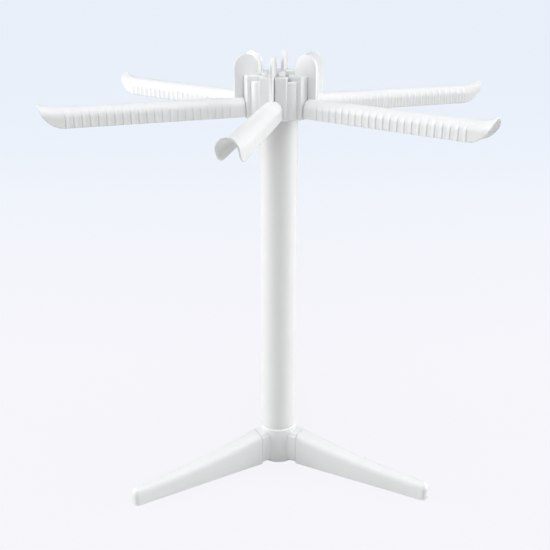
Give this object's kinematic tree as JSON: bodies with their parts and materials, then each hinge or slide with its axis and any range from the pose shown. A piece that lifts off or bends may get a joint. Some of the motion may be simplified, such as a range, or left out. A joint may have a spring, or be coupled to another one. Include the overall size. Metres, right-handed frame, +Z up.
{
  "type": "pasta drying rack",
  "caption": "Plug-together stand with splayed legs, an upright tube and a turning crown of grooved arms, over which strips of fresh pasta hang to dry.",
  "frame": {"origin": "on the upright tube's axis, at the level of the surface that the legs stand on", "axes": "+Z up along the tube, +Y along one of the legs, +X to the right of it"},
  "size_m": [0.3898, 0.4016, 0.4052],
  "materials": {
    "hub": "white moulded plastic, satin gloss",
    "leg": "white moulded plastic, satin gloss",
    "pole": "white moulded plastic, satin gloss",
    "crown": "white moulded plastic, satin gloss",
    "arm": "white moulded plastic, satin gloss"
  },
  "bodies": {
    "base_hub": {"base_hub": "hub"},
    "leg_1": {"leg_1": "leg"},
    "leg_2": {"leg_2": "leg"},
    "leg_3": {"leg_3": "leg"},
    "pole": {"pole": "pole"},
    "crown": {"crown": "crown"},
    "arm_1": {"arm_1": "arm"},
    "arm_2": {"arm_2": "arm"},
    "arm_3": {"arm_3": "arm"},
    "arm_4": {"arm_4": "arm"},
    "arm_5": {"arm_5": "arm"},
    "arm_6": {"arm_6": "arm"}
  },
  "joints": [
    {"name": "leg_1_pull_out", "type": "slide", "parent": "base_hub", "child": "leg_1", "axis": [0, 1, 0], "range_m": [0, 0.03]},
    {"name": "leg_2_pull_out", "type": "slide", "parent": "base_hub", "child": "leg_2", "axis": [-0.866, -0.5, 0], "range_m": [0, 0.03]},
    {"name": "leg_3_pull_out", "type": "slide", "parent": "base_hub", "child": "leg_3", "axis": [0.866, -0.5, 0], "range_m": [0, 0.03]},
    {"name": "pole_lift_off", "type": "slide", "parent": "base_hub", "child": "pole", "axis": [0, 0, 1], "range_m": [0, 0.04]},
    {"name": "crown_turn", "type": "hinge", "parent": "pole", "child": "crown", "pos_m": [0, 0, 0.3522], "axis": [0, 0, 1], "continuous": true},
    {"name": "arm_1_lift_out", "type": "slide", "parent": "crown", "child": "arm_1", "axis": [0, 0, 1], "range_m": [0, 0.04]},
    {"name": "arm_2_lift_out", "type": "slide", "parent": "crown", "child": "arm_2", "axis": [0, 0, 1], "range_m": [0, 0.04]},
    {"name": "arm_3_lift_out", "type": "slide", "parent": "crown", "child": "arm_3", "axis": [0, 0, 1], "range_m": [0, 0.04]},
    {"name": "arm_4_lift_out", "type": "slide", "parent": "crown", "child": "arm_4", "axis": [0, 0, 1], "range_m": [0, 0.04]},
    {"name": "arm_5_lift_out", "type": "slide", "parent": "crown", "child": "arm_5", "axis": [0, 0, 1], "range_m": [0, 0.04]},
    {"name": "arm_6_lift_out", "type": "slide", "parent": "crown", "child": "arm_6", "axis": [0, 0, 1], "range_m": [0, 0.04]}
  ]
}
